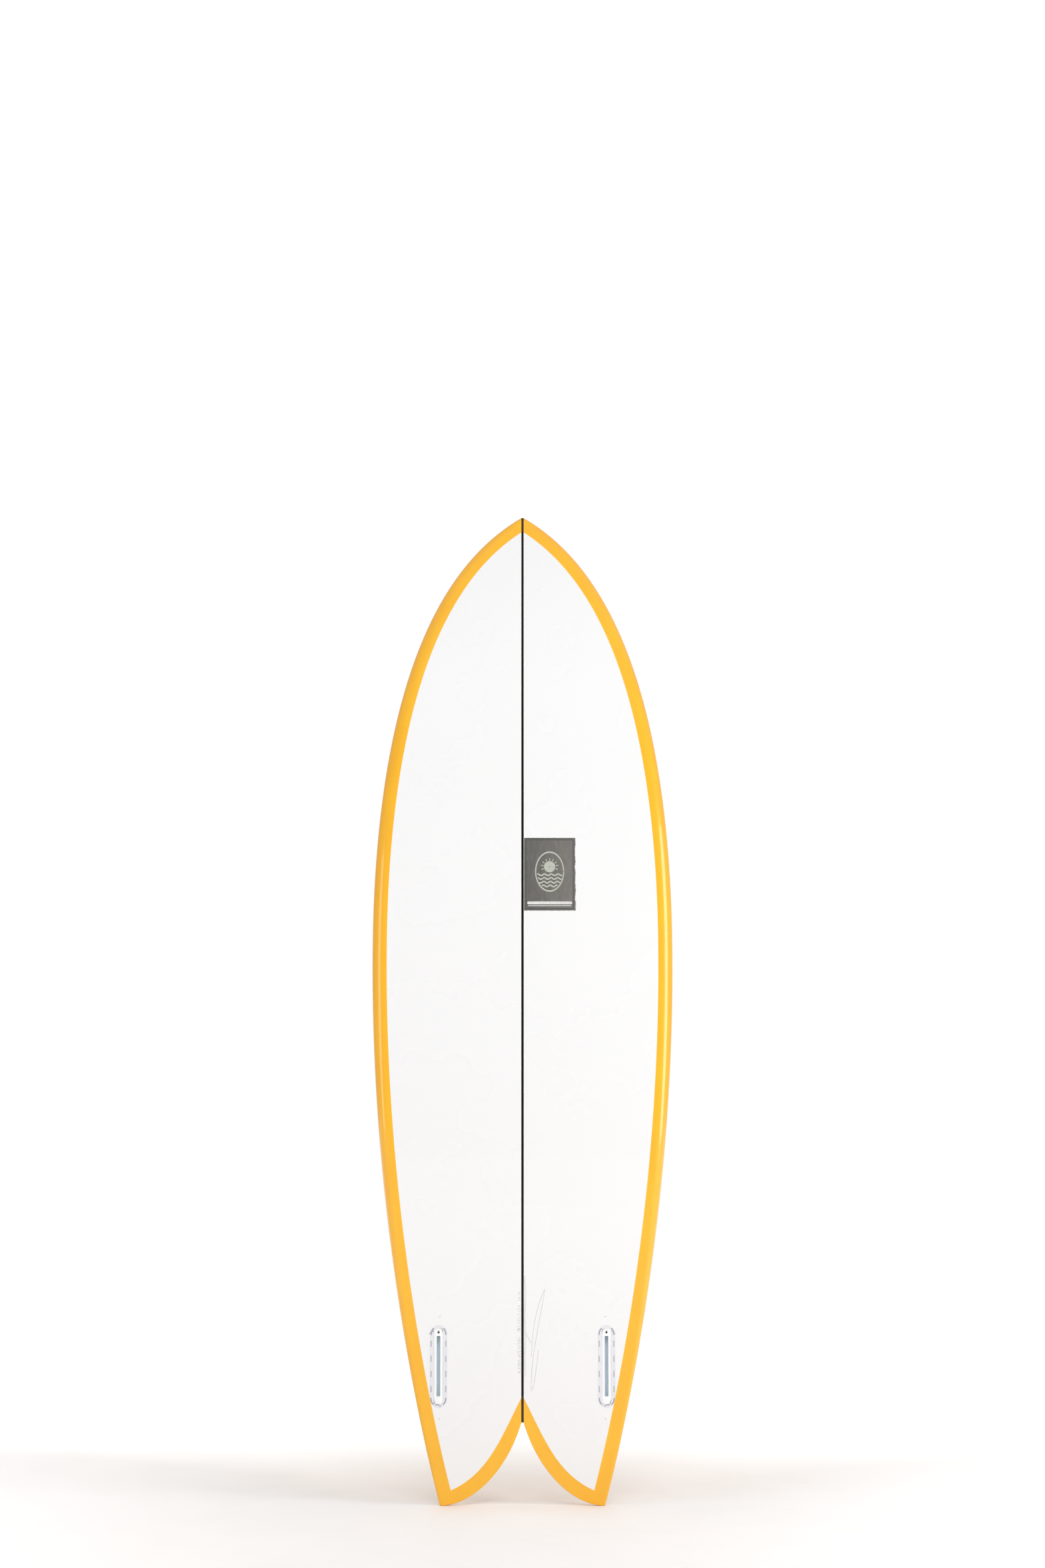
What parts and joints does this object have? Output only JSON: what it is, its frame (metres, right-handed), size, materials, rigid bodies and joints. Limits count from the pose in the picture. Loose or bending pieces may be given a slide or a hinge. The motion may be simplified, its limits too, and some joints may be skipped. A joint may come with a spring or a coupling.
{
  "type": "surfboard",
  "caption": "Fish surfboard with a pointed nose, swallow tail, coloured rail band, wood stringer, slotted keel fin boxes with locking screws, and a leash plug.",
  "frame": {"origin": "at the height of the two tail tips, on the centre line, half way between the bottom's lowest line and the deck's highest place", "axes": "+Z from the tail tips to the nose, +Y from the bottom to the deck, +X to the right as seen facing the bottom with the nose up"},
  "size_m": [0.558, 0.1192, 1.854],
  "materials": {
    "clear_glass": "gloss",
    "tinted_glass": "gloss",
    "stringer_wood": "stained",
    "foam": "matte",
    "label_cloth": "woven",
    "box_plastic": "satin",
    "resin": "gloss",
    "stainless": "brushed"
  },
  "bodies": {
    "board": {"bottom_laminate": "clear_glass", "deck_laminate": "tinted_glass", "stringer": "stringer_wood", "foam_left": "foam", "foam_right": "foam", "label_patch": "label_cloth", "fin_box_left": "box_plastic", "fin_box_right": "box_plastic", "fin_box_bedding_left": "resin", "fin_box_bedding_right": "resin", "leash_cup": "box_plastic", "leash_bar": "stainless", "leash_cup_bedding": "resin"},
    "screw_left": {"fin_screw_left": "stainless"},
    "screw_right": {"fin_screw_right": "stainless"}
  },
  "joints": [
    {"name": "fin_screw_left_travel", "type": "slide", "parent": "board", "child": "screw_left", "axis": [0, -0.8149, 0.5796], "range_m": [-0.003, 0.001]},
    {"name": "fin_screw_right_travel", "type": "slide", "parent": "board", "child": "screw_right", "axis": [0, -0.8149, 0.5796], "range_m": [-0.003, 0.001]}
  ]
}
